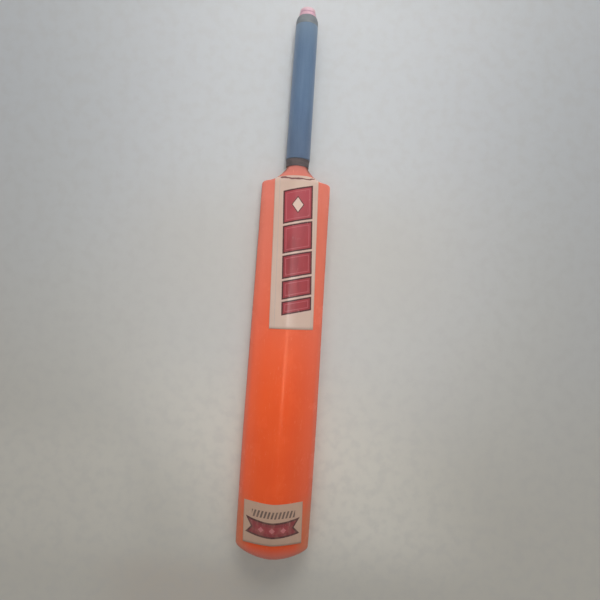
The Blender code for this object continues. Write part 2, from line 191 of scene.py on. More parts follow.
class Section:
    """Cross-section of the moulding at one distance from the toe.

    Insets pull it in where the toe rounds over, and its share lowers it towards the seam in the end face.
    """

    def __init__(self, distance, inset=0.0, side_inset=0.0, share=1.0):
        self.distance = distance
        self.share = share
        if distance >= NECK_TOP:
            self.half_width = self.spine = self.depth = core_radius(distance)
            self.roundness = 1.0
        else:
            on_shoulder = distance > SHOULDER[0][0]
            blade_half = swelling(distance, TOE_WIDTH, BLADE_WIDTH, SHOULDER_WIDTH, WIDEST_FROM_TOE,
                                  TOE_WIDTH_POWER) / 2
            self.half_width = between(SHOULDER, distance) if on_shoulder else blade_half
            narrowest = CORE_BOTTOM_RADIUS
            widening = (self.half_width - narrowest) / (SHOULDER_WIDTH / 2 - narrowest)
            self.roundness = 1.0 - ease(widening) if on_shoulder else 0.0
            to_neck = ease((distance - BLADE_LENGTH) / (NECK_TOP - BLADE_LENGTH))
            spine = swelling(distance, TOE_SPINE_HEIGHT, SPINE_HEIGHT, SHOULDER_SPINE_HEIGHT,
                             THICKEST_FROM_TOE, TOE_SPINE_POWER)
            self.spine = mix(spine, narrowest, to_neck)
            self.depth = mix(FACE_DEPTH, narrowest, to_neck)
        self.edge = FLANK_EDGE_HEIGHT * (self.spine - inset) / self.spine
        self.half_width -= side_inset
        self.spine -= inset
        self.depth -= inset

    def back(self, x):
        """Height of the back over the parting plane: convex flanks that fall from a soft spine."""
        across = min(x / self.half_width, 1.0)
        flank = mix(self.spine, self.edge, across ** SPINE_POWER)
        flank *= rounded_edge(x, self.half_width, BACK_EDGE_ROUND, BACK_EDGE_POWER)
        return mix(flank, self.spine * math.sqrt(1.0 - across * across), self.roundness)

    def face(self, x):
        """Depth of the striking face under the parting plane: flat, with rounded edges."""
        across = min(x / self.half_width, 1.0)
        flat = self.depth * rounded_edge(x, self.half_width, FACE_EDGE_ROUND, FACE_EDGE_POWER)
        return mix(flat, self.depth * math.sqrt(1.0 - across * across), self.roundness)

    def point(self, turn):
        """Point on the skin at a turn of -1 to 1: the face's middle, round the spine at 0, and back to it."""
        x = self.half_width * math.sin(math.pi * turn)
        bow = TOE_ARC_RADIUS - math.sqrt(TOE_ARC_RADIUS ** 2 - x * x)
        near_toe = 1.0 - ease(self.distance / TOE_BOW_REACH)
        tighter_corner = (1.0 - TOE_CORNER_RADIUS / TOE_FILLET) * (x / self.half_width) ** TOE_CORNER_POWER
        distance = self.distance * (1.0 - near_toe * tighter_corner) + near_toe * bow
        height = self.back(abs(x)) if abs(turn) < 0.5 else -self.face(abs(x))
        return placed(x, distance, height * self.share)


def placed(x, distance, height):
    """Place of a point given by its distance from the toe and its height over the parting plane."""
    return Vector((x, distance - BAT_LENGTH / 2, FACE_DEPTH + height))


def moulding_sections():
    """Sections from the pinched seam in the toe's end face to the mouth of the blow neck."""
    sections = [Section(0.0, TOE_FILLET, TOE_CORNER_RADIUS, share) for share in END_FACE_SHARES]
    for angle in steps(math.pi / 2, 0.0, TOE_FILLET_RINGS)[1:-1]:
        turned_in = 1.0 - math.cos(angle)
        sections.append(Section(TOE_FILLET * (1.0 - math.sin(angle)),
                                TOE_FILLET * turned_in, TOE_CORNER_RADIUS * turned_in))
    distances = steps(TOE_FILLET, SHOULDER[0][0], BLADE_RINGS)[:-1] + [distance for distance, _ in SHOULDER]
    distances += steps(NECK_TOP, CORE_ROUND_START, CORE_RINGS)[1:-1]
    distances += [distance for distance, _ in CORE_END_OUTLINE]
    return sections + [Section(distance) for distance in distances]


def grid_cell(point, columns, rows):
    """Column and row of a point of a flat grid that reaches from -1 to 1."""
    return round((point.co.x + 1.0) / 2 * columns), round((point.co.y + 1.0) / 2 * rows)


def bent_grid(columns, rows, place):
    """A square grid whose points are moved to place(column, row)."""
    sheet = bmesh.new()
    bmesh.ops.create_grid(sheet, x_segments=columns, y_segments=rows, size=1.0)
    for point in sheet.verts:
        point.co = place(*grid_cell(point, columns, rows))
    return sheet


def new_piece(name, shape):
    """Turn a finished bmesh into a smooth piece in the scene."""
    mesh = bpy.data.meshes.new(name)
    shape.to_mesh(mesh)
    shape.free()
    mesh.shade_smooth()
    piece = bpy.data.objects.new(name, mesh)
    bpy.context.scene.collection.objects.link(piece)
    return piece


sections = moulding_sections()
skin = bent_grid(SKIN_COLUMNS, len(sections) - 1,
                 lambda column, row: sections[row].point(2.0 * column / SKIN_COLUMNS - 1.0))
bmesh.ops.remove_doubles(skin, verts=skin.verts, dist=SKIN_MERGE_DISTANCE)
for height in (-PARTING_LINE_FOOT, -PARTING_LINE_HALF_WIDTH, PARTING_LINE_HALF_WIDTH, PARTING_LINE_FOOT):
    bmesh.ops.bisect_plane(skin, geom=skin.verts[:] + skin.edges[:] + skin.faces[:],
                           plane_co=placed(0.0, 0.0, height), plane_no=(0.0, 0.0, 1.0))
bmesh.ops.recalc_face_normals(skin, faces=skin.faces)
skin.normal_update()
for point in skin.verts:
    outwards = Vector((point.normal.x, point.normal.y, 0.0))
    if abs(point.co.z - FACE_DEPTH) < (PARTING_LINE_HALF_WIDTH + PARTING_LINE_FOOT) / 2:
        point.co += outwards.normalized() * PARTING_LINE_HEIGHT
moulding = new_piece("bat_moulding", skin)
wall = moulding.modifiers.new("wall", "SOLIDIFY")
wall.thickness = WALL
wall.offset = -1.0


class Value:
    """A socket that varies over a surface. Sums on it add Math nodes to its tree."""

    def __init__(self, nodes, socket):
        self.nodes = nodes
        self.socket = socket

    def math(self, operation, *terms):
        return self.nodes.node("ShaderNodeMath", {"operation": operation}, dict(enumerate(terms)))

    def __add__(self, other):
        return self.math("ADD", self, other)

    def __sub__(self, other):
        return self.math("SUBTRACT", self, other)

    def __rsub__(self, other):
        return self.math("SUBTRACT", other, self)

    def __mul__(self, other):
        return self.math("MULTIPLY", self, other)

    def __truediv__(self, other):
        return self.math("DIVIDE", self, other)

    def __abs__(self):
        return self.math("ABSOLUTE", self)

    __radd__ = __add__
    __rmul__ = __mul__

    def least(self, other):
        return self.math("MINIMUM", self, other)

    def most(self, other):
        return self.math("MAXIMUM", self, other)

    def ramp(self, low, high):
        """Smooth rise from 0 at low to 1 at high, which may be the lower of the two."""
        return self.nodes.node("ShaderNodeMapRange", {"interpolation_type": "SMOOTHSTEP"},
                                {"Value": self, "From Min": low, "From Max": high})


class Nodes:
    """The nodes of one material, or of the room round the object."""

    def __init__(self, tree):
        self.tree = tree

    def node(self, kind, settings=None, sockets=None, output=0):
        """Add a node: its settings come first, then the values and links of its sockets."""
        node = self.tree.nodes.new(kind)
        for label, value in (settings or {}).items():
            setattr(node, label, value)
        for label, value in (sockets or {}).items():
            if isinstance(value, Value):
                self.tree.links.new(value.socket, node.inputs[label])
            else:
                node.inputs[label].default_value = value
        return Value(self, node.outputs[output])

    def axes(self, vector):
        """The three numbers of a vector."""
        split = self.node("ShaderNodeSeparateXYZ", {}, {0: vector})
        return [Value(self, socket) for socket in split.socket.node.outputs]


class Finish(Nodes):
    """A material whose colour, roughness and bump vary over the surface."""

    def __init__(self, name, **constants):
        self.material = bpy.data.materials.new(name)
        self.material.use_nodes = True
        super().__init__(self.material.node_tree)
        self.shader = self.tree.nodes["Principled BSDF"]
        for label, value in constants.items():
            self.shader.inputs[label.replace("_", " ")].default_value = value

    def place(self, turn=(0.0, 0.0, 0.0), scale=(1.0, 1.0, 1.0)):
        """Object coordinates, turned and stretched."""
        return self.node("ShaderNodeMapping", {}, {
            "Vector": self.node("ShaderNodeTexCoord", output="Object"), "Rotation": turn, "Scale": scale})

    def noise(self, vector, scale, detail=2.0, roughness=0.5):
        return self.node("ShaderNodeTexNoise", {}, {
            "Vector": vector, "Scale": scale, "Detail": detail, "Roughness": roughness})

    def blend(self, share, first, second):
        """Colour that goes from the first to the second with the share.

        A Mix node takes its factor at socket 0 and its colours at 6 and 7, and gives a colour at output 2.
        """
        return self.node("ShaderNodeMix", {"data_type": "RGBA"}, {0: share, 6: first, 7: second}, 2)

    def scratches(self, turn, stretch, scale, width, sparse):
        """Thin lines that wander along one direction, most of them rubbed out again."""
        along = self.place(turn=(0.0, 0.0, turn), scale=(1.0, stretch, 1.0))
        lines = abs(self.noise(along, scale, 1.0) - 0.5).ramp(width, 0.0)
        return lines * self.noise(self.place(), scale * 0.45, 1.0).ramp(sparse, sparse + 0.08)

    def finish(self, colour, roughness, height, bump_depth):
        """Wire the colour, roughness and bump into the shader."""
        bump = self.node("ShaderNodeBump", {}, {"Strength": 1.0, "Distance": bump_depth, "Height": height})
        for label, value in (("Base Color", colour), ("Roughness", roughness), ("Normal", bump)):
            self.tree.links.new(value.socket, self.shader.inputs[label])
        return self.material


def orange_plastic():
    """Semi-gloss orange, scratched, with painted glare towards the handle and painted sheen and shade at the
    sides, toe and neck.
    """
    finish = Finish("orange_plastic", Specular_IOR_Level=0.145, Specular_Tint=ORANGE_SHINE)
    x, y, z = finish.axes(finish.place())
    cloud = finish.noise(finish.place(), 9.0, 3.0)
    flow = finish.noise(finish.place(scale=(1.0, 0.06, 1.0)), 130.0, 3.0)
    grain = finish.noise(finish.place(), 900.0, 2.0)
    waviness = finish.noise(finish.place(scale=(1.0, 0.5, 1.0)), 22.0, 1.0)
    smudge = finish.noise(finish.place(scale=(1.0, 0.7, 1.0)), 30.0, 4.0, 0.6)
    along_bat = finish.scratches(turn=0.12, stretch=0.05, scale=260.0, width=0.010, sparse=0.52)
    slanting = finish.scratches(turn=-0.9, stretch=0.06, scale=200.0, width=0.008, sparse=0.58)
    crossing = finish.scratches(turn=1.35, stretch=0.07, scale=170.0, width=0.008, sparse=0.60)
    scratch = (along_bat + slanting + crossing).least(1.0)
    speck = finish.noise(finish.place(), 420.0, 2.0).ramp(0.70, 0.78) * smudge.ramp(0.45, 0.62)
    tone = finish.blend(cloud.ramp(0.3, 0.7), ORANGE, DEEP_ORANGE)
    tone = finish.blend(flow.ramp(0.35, 0.75) * 0.14, tone, FLOW_LINE_ORANGE)
    # Painted glare: the orange is paler and washed out towards the handle, where the window's light reflects.
    upper_glare = (y + (cloud - 0.5) * 0.04).ramp(-0.20, 0.11)
    # Painted sheen: a paler rim along the parting line at the sides.
    edge_sheen = (abs(z - FACE_DEPTH) + (cloud - 0.5) * 0.003).ramp(0.0115, 0.0020) * 0.75
    tone = finish.blend(upper_glare.most(edge_sheen), tone, GLARE_AND_SHEEN_ORANGE)
    # Painted shade: the right flank is darker, more so towards the handle.
    right_flank_shade = x.ramp(0.004, 0.030) * (0.17 + y.ramp(-0.10, 0.06) * 0.12)
    tone = finish.blend(right_flank_shade, tone, FLANK_SHADE_ORANGE)
    # Painted sheen: the orange is paler and greyer towards both sides.
    side_sheen = (abs(x) + (cloud - 0.5) * 0.006).ramp(0.024, 0.050) * 0.20
    tone = finish.blend(side_sheen, tone, SIDE_SHEEN_ORANGE)
    # Painted shade: the toe's sides are darker.
    toe_side_shade = abs(x).ramp(0.030, 0.047) * y.ramp(-0.300, -0.350)
    tone = finish.blend(toe_side_shade * 0.5, tone, TOE_SIDE_SHADE_ORANGE)
    # Painted glare: the shoulders are paler.
    tone = finish.blend(y.ramp(0.090, 0.130) * 0.2, tone, SHOULDER_GLARE_ORANGE)
    # Painted glare: the neck is paler and washed out.
    neck_end = NECK_TOP - BAT_LENGTH / 2
    tone = finish.blend(y.ramp(neck_end - 0.030, neck_end), tone, NECK_GLARE_ORANGE)
    # Painted shade: dark lines on the neck's sides beside the seam, just under the band.
    beside_seam = (abs(z - FACE_DEPTH) + (cloud - 0.5) * 0.004).ramp(0.0125, 0.0085)
    neck_side_shade = beside_seam * y.ramp(neck_end - 0.013, neck_end - 0.006)
    tone = finish.blend(neck_side_shade * 0.75, tone, NECK_SHADE)
    # Painted shade: the toe's end is darker.
    toe_end = -BAT_LENGTH / 2
    toe_end_shade = (y + (cloud - 0.5) * 0.006).ramp(toe_end + 0.029, toe_end + 0.004)
    tone = finish.blend(toe_end_shade * 0.75, tone, TOE_END_SHADE_ORANGE)
    tone = finish.blend(scratch * 0.18, tone, PALE_SCRATCH)
    tone = finish.blend(speck * 0.25, tone, DARK_SPECK)
    roughness = 0.21 + smudge.ramp(0.35, 0.75) * 0.08 + scratch * 0.12 + grain * 0.03
    height = waviness + grain * 0.05 - scratch * 0.10 + flow * 0.05
    return finish.finish(tone, roughness, height, bump_depth=0.0007)


moulding.data.materials.append(orange_plastic())
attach(moulding, "root")
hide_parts("bat_shell")

# End plug: a small cap of pale pink plastic, injection moulded, with a flange under its rounded head and
# a hollow stem that presses into the blow neck. A groove runs round between the head and the flange.
PLUG_HEAD_RADIUS = 0.0113
PLUG_HEAD_ROUND = 0.0022
PLUG_CROWN_WALL = 0.0030
PLUG_GROOVE_RADIUS = 0.0107
PLUG_GROOVE_LENGTH = 0.0008
PLUG_FLANGE_RADIUS = 0.0125
PLUG_FLANGE_ROUND = 0.0008
PLUG_STEM_LENGTH = 0.012
PLUG_STEM_WALL = 0.0018
PLUG_STEM_LEAD_IN = 0.0008
PLUG_DISH_RADIUS = 0.0070
PLUG_DISH_DEPTH = 0.0006
PLUG_NUB_RADIUS = 0.0013
PLUG_NUB_HEIGHT = 0.0004
PLUG_FINE_ROUND = 0.0002
TURN_STEPS = 96
CORNER_SEGMENTS = 5
TURNED_MERGE_DISTANCE = 0.000002

PLUG_PINK = (0.620, 0.368, 0.435, 1.0)
DEEP_PINK = (0.580, 0.327, 0.393, 1.0)
RUBBED_PINK = (0.700, 0.540, 0.560, 1.0)
HIGHLIGHT_PINK = (0.680, 0.515, 0.528, 1.0)
GROOVE_SHADE_PINK = (0.330, 0.190, 0.235, 1.0)


def turned(outline, rounds, turn_steps=TURN_STEPS, closed=True):
    """Turn an outline of (radius, distance) about the handle's axis, its corners rounded first.

    Rounds gives the reach of the rounding for each corner that has one, by its place in the outline.
    An outline that starts and ends on the axis isn't closed.
    """
    body = bmesh.new()
    corners = [body.verts.new((radius, distance, 0.0)) for radius, distance in outline]
    for first, second in zip(corners, corners[1:] + corners[:1] if closed else corners[1:]):
        body.edges.new((first, second))
    for index, reach in rounds.items():
        bmesh.ops.bevel(body, geom=[corners[index]], offset=reach, segments=CORNER_SEGMENTS, profile=0.5,
                        affect="VERTICES", material=-1)
    bmesh.ops.spin(body, geom=body.verts[:] + body.edges[:], cent=(0.0, 0.0, 0.0), axis=(0.0, 1.0, 0.0),
                   dvec=(0.0, 0.0, 0.0), angle=2.0 * math.pi, steps=turn_steps, use_merge=True,
                   use_normal_flip=False, use_duplicate=False)
    bmesh.ops.remove_doubles(body, verts=body.verts, dist=TURNED_MERGE_DISTANCE)
    bmesh.ops.recalc_face_normals(body, faces=body.faces)
    bmesh.ops.translate(body, verts=body.verts, vec=placed(0.0, 0.0, 0.0))
    return body


head_base = BAT_LENGTH - PLUG_HEAD_HEIGHT
flange_top = head_base - PLUG_GROOVE_LENGTH
dish = BAT_LENGTH - PLUG_DISH_DEPTH
stem_radius = BLOW_NECK_RADIUS - WALL - CLEARANCE
stem_inside = stem_radius - PLUG_STEM_WALL
stem_end = PLUG_SEAT - PLUG_STEM_LENGTH
plug_outline = [
    (0.0, dish + PLUG_NUB_HEIGHT),
    (PLUG_NUB_RADIUS, dish + PLUG_NUB_HEIGHT),
    (PLUG_NUB_RADIUS, dish),
    (PLUG_DISH_RADIUS, dish),
    (PLUG_DISH_RADIUS + PLUG_DISH_DEPTH, BAT_LENGTH),
    (PLUG_HEAD_RADIUS, BAT_LENGTH),
    (PLUG_HEAD_RADIUS, head_base),
    (PLUG_GROOVE_RADIUS, head_base),
    (PLUG_GROOVE_RADIUS, flange_top),
    (PLUG_FLANGE_RADIUS, flange_top),
    (PLUG_FLANGE_RADIUS, PLUG_SEAT),
    (stem_radius, PLUG_SEAT),
    (stem_radius, stem_end),
    (stem_inside, stem_end),
    (stem_inside, BAT_LENGTH - PLUG_CROWN_WALL),
    (0.0, BAT_LENGTH - PLUG_CROWN_WALL),
]
plug_rounds = {1: PLUG_FINE_ROUND, 4: PLUG_FINE_ROUND, 5: PLUG_HEAD_ROUND, 6: PLUG_FINE_ROUND,
               9: PLUG_FLANGE_ROUND, 10: PLUG_FINE_ROUND, 12: PLUG_STEM_LEAD_IN}
plug = new_piece("handle_plug", turned(plug_outline, plug_rounds, closed=False))


def plug_plastic():
    """Satin pink plastic with rub marks on its rim, a painted highlight towards its end and painted shade in
    its groove.
    """
    finish = Finish("plug_plastic")
    _, y, _ = finish.axes(finish.place())
    cloud = finish.noise(finish.place(), 60.0, 3.0)
    grain = finish.noise(finish.place(), 1400.0, 2.0)
    rub = finish.noise(finish.place(), 320.0, 3.0).ramp(0.52, 0.66)
    tone = finish.blend(cloud.ramp(0.3, 0.7), PLUG_PINK, DEEP_PINK)
    tone = finish.blend(rub * 0.35, tone, RUBBED_PINK)
    # Painted highlight: the plug is paler towards the head's end.
    end_highlight = y.ramp(head_base - BAT_LENGTH / 2, BAT_LENGTH / 2 - 0.0015)
    tone = finish.blend(end_highlight * 0.7, tone, HIGHLIGHT_PINK)
    # Painted shade: darker in the groove between the head and the flange.
    groove_shade = abs(y - (head_base + flange_top - BAT_LENGTH) / 2).ramp(0.0017, 0.0006)
    tone = finish.blend(groove_shade * 0.6, tone, GROOVE_SHADE_PINK)
    roughness = 0.42 + rub * 0.12 + grain * 0.05
    height = grain * 0.3 + cloud + rub * 0.2
    return finish.finish(tone, roughness, height, bump_depth=0.0002)


plug.data.materials.append(plug_plastic())
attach(plug, "root")
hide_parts("end_plug")

# Grip sleeve: a tube of matte blue rubber pushed over the handle's core, moulded with fine ribs along
# its length. Hands have polished it a little. Its upper end is greyer, partly from dust and partly from
# painted sheen.
GRIP_WALL = 0.0020
GRIP_EDGE_ROUND = 0.0002
BOTTOM_BAND_LENGTH = 0.0112
TOP_BAND_SLEEVE_LENGTH = 0.0062
RIB_COUNT = 40
RIB_DEPTH = 0.00022
STEPS_PER_RIB = 6
RIB_RUNOUT = 0.004

SLEEVE_BLUE = (0.082, 0.142, 0.230, 1.0)
DEEP_BLUE = (0.070, 0.122, 0.212, 1.0)
STREAK_BLUE = (0.125, 0.190, 0.280, 1.0)
PORE_BLUE = (0.040, 0.070, 0.120, 1.0)
GRIMY_BLUE = (0.066, 0.090, 0.140, 1.0)
DUST_AND_SHEEN_BLUE = (0.150, 0.215, 0.290, 1.0)

sleeve_bottom = NECK_TOP + BOTTOM_BAND_LENGTH + CLEARANCE
sleeve_top = CORE_ROUND_START - TOP_BAND_SLEEVE_LENGTH - CLEARANCE
sleeve_outline = []
for distance in (sleeve_bottom, sleeve_bottom + RIB_RUNOUT, sleeve_top - RIB_RUNOUT, sleeve_top):
    sleeve_outline.append((core_radius(distance) + CLEARANCE + GRIP_WALL, distance))
sleeve_outline += [(core_radius(sleeve_top) + CLEARANCE, sleeve_top),
                   (core_radius(sleeve_bottom) + CLEARANCE, sleeve_bottom)]
sleeve_rounds = {0: GRIP_EDGE_ROUND, 3: GRIP_EDGE_ROUND}
sleeve_body = turned(sleeve_outline, sleeve_rounds, RIB_COUNT * STEPS_PER_RIB)
for point in sleeve_body.verts:
    spoke = Vector((point.co.x, 0.0, point.co.z - FACE_DEPTH))
    distance = point.co.y + BAT_LENGTH / 2
    if spoke.length > core_radius(distance) + CLEARANCE + GRIP_WALL / 2:
        angle = math.atan2(spoke.x, spoke.z)
        end_fade = ease(min(distance - sleeve_bottom, sleeve_top - distance) / RIB_RUNOUT)
        groove = (0.5 - 0.5 * math.cos(RIB_COUNT * angle)) * end_fade
        point.co -= spoke.normalized() * RIB_DEPTH * groove
sleeve = new_piece("rubber_sleeve", sleeve_body)


def blue_rubber():
    """Matte blue rubber with streaks along its length, small pores, and a grey at the upper end that is
    partly dust and partly painted sheen.
    """
    finish = Finish("blue_rubber", Sheen_Weight=0.34, Sheen_Roughness=0.45)
    _, y, _ = finish.axes(finish.place())
    streak = finish.noise(finish.place(scale=(1.0, 0.05, 1.0)), 220.0, 3.0)
    cloud = finish.noise(finish.place(scale=(1.0, 0.4, 1.0)), 45.0, 3.0)
    pores = finish.noise(finish.place(), 1600.0, 2.0)
    upper_end = sleeve_top - BAT_LENGTH / 2
    # Partly dust, partly painted sheen: the sleeve greys towards its upper end.
    dust_and_sheen = (y + (cloud - 0.5) * 0.030).ramp(upper_end - 0.050, upper_end + 0.010)
    grime = (y + (cloud - 0.5) * 0.030).ramp(upper_end - 0.110, upper_end - 0.200)
    tone = finish.blend(cloud.ramp(0.3, 0.7), SLEEVE_BLUE, DEEP_BLUE)
    tone = finish.blend(streak.ramp(0.4, 0.75) * 0.30, tone, STREAK_BLUE)
    tone = finish.blend(pores.ramp(0.62, 0.75) * 0.20, tone, PORE_BLUE)
    tone = finish.blend(grime * 0.45, tone, GRIMY_BLUE)
    tone = finish.blend(dust_and_sheen * 0.80, tone, DUST_AND_SHEEN_BLUE)
    roughness = 0.62 + cloud * 0.18 + dust_and_sheen * 0.08
    height = pores * 0.5 + streak * 0.8
    return finish.finish(tone, roughness, height, bump_depth=0.00025)


sleeve.data.materials.append(blue_rubber())
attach(sleeve, "root")
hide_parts("grip_sleeve")

# Bottom band: a short dark rubber ring on the neck that closes the sleeve's lower end. It is rolled on,
# thins towards the flare, and has a bead at each edge.
BOTTOM_BAND_THICKNESS = 0.0014
BOTTOM_BAND_LOWER_THICKNESS = 0.0007
THINNING_SHARE = 0.6
BEAD_REACH = 0.0016
BEAD_FOOT_REACH = 1.7 * BEAD_REACH
BEAD_DIP = 0.0003
BEAD_ROUND = 0.0005
BEAD_FOOT_ROUND = 0.0003
LOWER_EDGE_ROUND = 0.0004

BAND_BROWN = (0.072, 0.055, 0.056, 1.0)
PALE_BAND_BROWN = (0.108, 0.084, 0.082, 1.0)
BROWN_DUST = (0.190, 0.150, 0.140, 1.0)

band_bottom, band_top = NECK_TOP, NECK_TOP + BOTTOM_BAND_LENGTH
band_outline = []
for distance, dip in ((band_bottom, 0.0), (band_bottom + BEAD_REACH, 0.0),
                      (band_bottom + BEAD_FOOT_REACH, BEAD_DIP), (band_top - BEAD_FOOT_REACH, BEAD_DIP),
                      (band_top - BEAD_REACH, 0.0), (band_top, 0.0)):
    thickness = mix(BOTTOM_BAND_LOWER_THICKNESS, BOTTOM_BAND_THICKNESS,
                    ease((distance - band_bottom) / BOTTOM_BAND_LENGTH / THINNING_SHARE))
    band_outline.append((core_radius(distance) + CLEARANCE + thickness - dip, distance))
for distance in (band_top, band_bottom):
    band_outline.append((core_radius(distance) + CLEARANCE, distance))
band_rounds = {0: LOWER_EDGE_ROUND, 1: BEAD_ROUND, 2: BEAD_FOOT_ROUND, 3: BEAD_FOOT_ROUND,
               4: BEAD_ROUND, 5: BEAD_ROUND}
bottom_band = new_piece("neck_band", turned(band_outline, band_rounds))


def worn_rubber(name, dark, light, dust, dust_share):
    """Matte rubber with a mottled tone, fine rings round it and dust in its hollows."""
    finish = Finish(name)
    cloud = finish.noise(finish.place(), 120.0, 3.0)
    rings = finish.noise(finish.place(scale=(0.05, 1.0, 0.05)), 900.0, 2.0)
    pores = finish.noise(finish.place(), 1500.0, 2.0)
    tone = finish.blend(cloud.ramp(0.3, 0.7), dark, light)
    tone = finish.blend(rings.ramp(0.55, 0.72) * dust_share, tone, dust)
    roughness = 0.66 + cloud * 0.16
    height = pores * 0.4 + rings * 0.8
    return finish.finish(tone, roughness, height, bump_depth=0.0002)


bottom_band.data.materials.append(
    worn_rubber("dark_band", BAND_BROWN, PALE_BAND_BROWN, BROWN_DUST, dust_share=0.4))
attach(bottom_band, "root")
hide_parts("grip_bottom_band")

# Top band: a grey rubber collar that follows the core as it rounds over into the blow neck, and closes
# the sleeve's upper end. Its grey is partly dust and partly painted sheen, the light on its rounded end.
TOP_BAND_THICKNESS = 0.0018
TOP_BAND_RIM_SHARE = 0.35
COLLAR_EDGE_ROUND = 0.0002

# Partly dust, partly painted sheen.
DUST_AND_SHEEN_GREY = (0.143, 0.160, 0.171, 1.0)
PALE_DUST_AND_SHEEN_GREY = (0.182, 0.196, 0.205, 1.0)
GREY_DUST = (0.250, 0.255, 0.258, 1.0)

collar_bottom = CORE_ROUND_START - TOP_BAND_SLEEVE_LENGTH
lift = CLEARANCE + TOP_BAND_THICKNESS
collar_inside = [(core_radius(collar_bottom) + CLEARANCE, collar_bottom)]
collar_outside = [(core_radius(collar_bottom) + lift, collar_bottom)]
for angle in steps(0.0, math.pi / 2, CORE_END_RINGS):
    distance = CORE_ROUND_START + CORE_END_ROUND * math.sin(angle)
    radius = mix(BLOW_NECK_RADIUS, CORE_TOP_RADIUS, math.cos(angle))
    collar_inside.append((radius + CLEARANCE, distance + CLEARANCE * math.sin(angle)))
    collar_outside.append((radius + lift * mix(1.0, TOP_BAND_RIM_SHARE, math.sin(angle)),
                           distance + lift * TOP_BAND_RIM_SHARE * math.sin(angle)))
collar_rounds = {0: COLLAR_EDGE_ROUND, len(collar_outside) - 1: COLLAR_EDGE_ROUND}
top_band = new_piece("end_collar", turned(collar_outside + collar_inside[::-1], collar_rounds))
top_band.data.materials.append(
    worn_rubber("grey_band", DUST_AND_SHEEN_GREY, PALE_DUST_AND_SHEEN_GREY, GREY_DUST, dust_share=0.5))
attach(top_band, "root")
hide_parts("grip_top_band")

# Blade label: a long sheet of white printed vinyl, stuck on the back by hand and slightly askew. It
# starts over the shoulders, and its print is a column of slanted crimson bars under a thin dark rule.
LABEL_LIFT = 0.00015
LABEL_THICKNESS = 0.0003
LABEL_STRIDE = 0.00025
SLOPE_PROBE = 0.0005
ROW_CROWDING = 2.0
INK_EDGE = 0.00025
INK_RAGGEDNESS = 0.0005
DIRTY_EDGE = 0.0014

PAPER = (0.572, 0.420, 0.338, 1.0)
DEEP_PAPER = (0.546, 0.391, 0.313, 1.0)
PAPER_DIRT = (0.400, 0.280, 0.220, 1.0)
PAPER_SCUFF = (0.680, 0.540, 0.460, 1.0)


def back_height(x, distance):
    return Section(distance).back(abs(x))


def on_back(x, distance, lift):
    """Point over the back, lifted square to its surface."""
    slope_x = (back_height(x + SLOPE_PROBE, distance) - back_height(x - SLOPE_PROBE, distance)) / 2.0
    slope_y = (back_height(x, distance + SLOPE_PROBE) - back_height(x, distance - SLOPE_PROBE)) / 2.0
    normal = Vector((-slope_x, -slope_y, SLOPE_PROBE)).normalized()
    return placed(x, distance, back_height(x, distance)) + normal * lift


def draped_column(x, distance, turn, lengths):
    """Points along one column of a sheet, at given lengths from its lower end, as it bends over the back."""
    points = []
    height = back_height(x, distance)
    travelled = 0.0
    for length in lengths:
        while travelled < length:
            x -= LABEL_STRIDE * math.sin(turn)
            distance += LABEL_STRIDE * math.cos(turn)
            next_height = back_height(x, distance)
            travelled += math.hypot(LABEL_STRIDE, next_height - height)
            height = next_height
        points.append(on_back(x, distance, LABEL_LIFT))
    return points


def label_sheet(name, width, length, from_toe, offset, turn, columns, rows):
    """A draped sheet with its own flat plan, in metres, as its UV map: middle of the lower edge at 0, 0."""
    lengths = [length * (1.0 - (1.0 - row / rows) ** ROW_CROWDING) for row in range(rows + 1)]
    across = steps(-width / 2, width / 2, columns)
    lines = [draped_column(offset + flat_x * math.cos(turn), from_toe + flat_x * math.sin(turn),
                           turn, lengths) for flat_x in across]
    sheet = bmesh.new()
    bmesh.ops.create_grid(sheet, x_segments=columns, y_segments=rows, size=1.0)
    flat = sheet.loops.layers.uv.new("flat_plan")
    for face in sheet.faces:
        for corner in face.loops:
            column, row = grid_cell(corner.vert, columns, rows)
            corner[flat].uv = (across[column], lengths[row])
    for point in sheet.verts:
        column, row = grid_cell(point, columns, rows)
        point.co = lines[column][row]
    bmesh.ops.recalc_face_normals(sheet, faces=sheet.faces)
    piece = new_piece(name, sheet)
    thickness = piece.modifiers.new("vinyl", "SOLIDIFY")
    thickness.thickness = LABEL_THICKNESS
    thickness.offset = 1.0
    return piece


